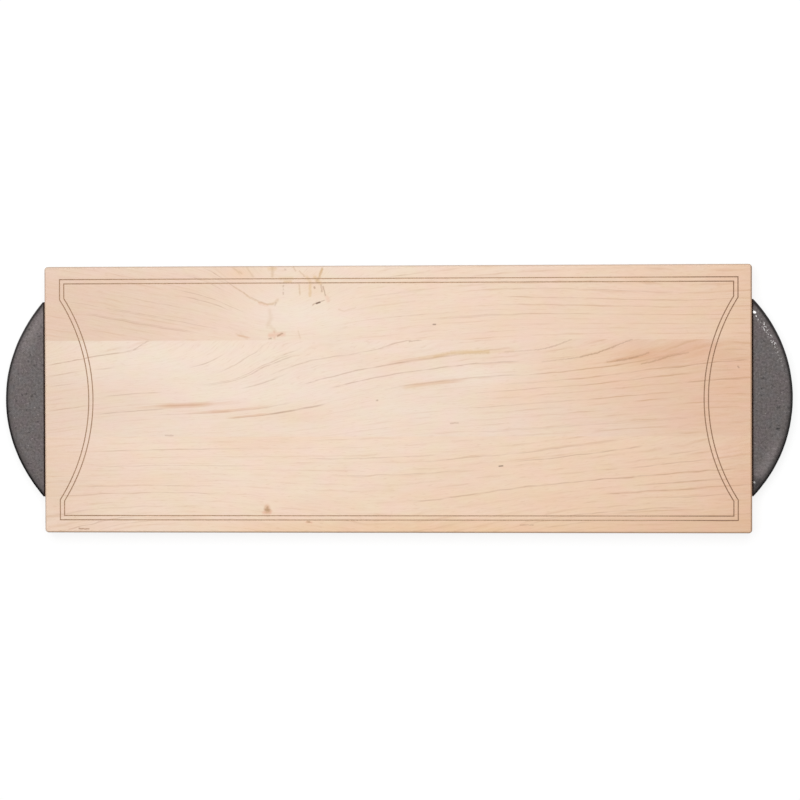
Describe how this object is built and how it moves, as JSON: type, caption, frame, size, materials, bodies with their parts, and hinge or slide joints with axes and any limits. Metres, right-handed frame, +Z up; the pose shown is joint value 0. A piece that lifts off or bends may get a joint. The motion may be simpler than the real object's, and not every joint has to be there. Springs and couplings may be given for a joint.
{
  "type": "serving board",
  "caption": "Long edge-glued maple serving board with eased edges, an engraved double-line border that bows in at the ends, and half-moon iron grips tongued into its ends.",
  "frame": {"origin": "middle of the underside, on the surface that the board lies on", "axes": "+X along the board's length, +Y across it towards the narrow stave, +Z up out of the serving face"},
  "size_m": [0.681, 0.23, 0.019],
  "materials": {
    "maple_back": "oiled hard maple, fine sanded, pinkish with a burl patch",
    "maple_middle": "oiled hard maple, fine sanded, with brown mineral streaks",
    "maple_front": "oiled hard maple, fine sanded, straight grained",
    "grip_iron": "dark grey waxed iron with a fine cast skin",
    "screw_steel": "yellowish zinc-plated steel"
  },
  "bodies": {
    "root": {"stave_back": "maple_back", "stave_middle": "maple_middle", "stave_front": "maple_front", "grip_left": "grip_iron", "grip_right": "grip_iron", "screw_left_back": "screw_steel", "screw_left_middle": "screw_steel", "screw_left_front": "screw_steel", "screw_right_back": "screw_steel", "screw_right_middle": "screw_steel", "screw_right_front": "screw_steel"}
  },
  "joints": []
}
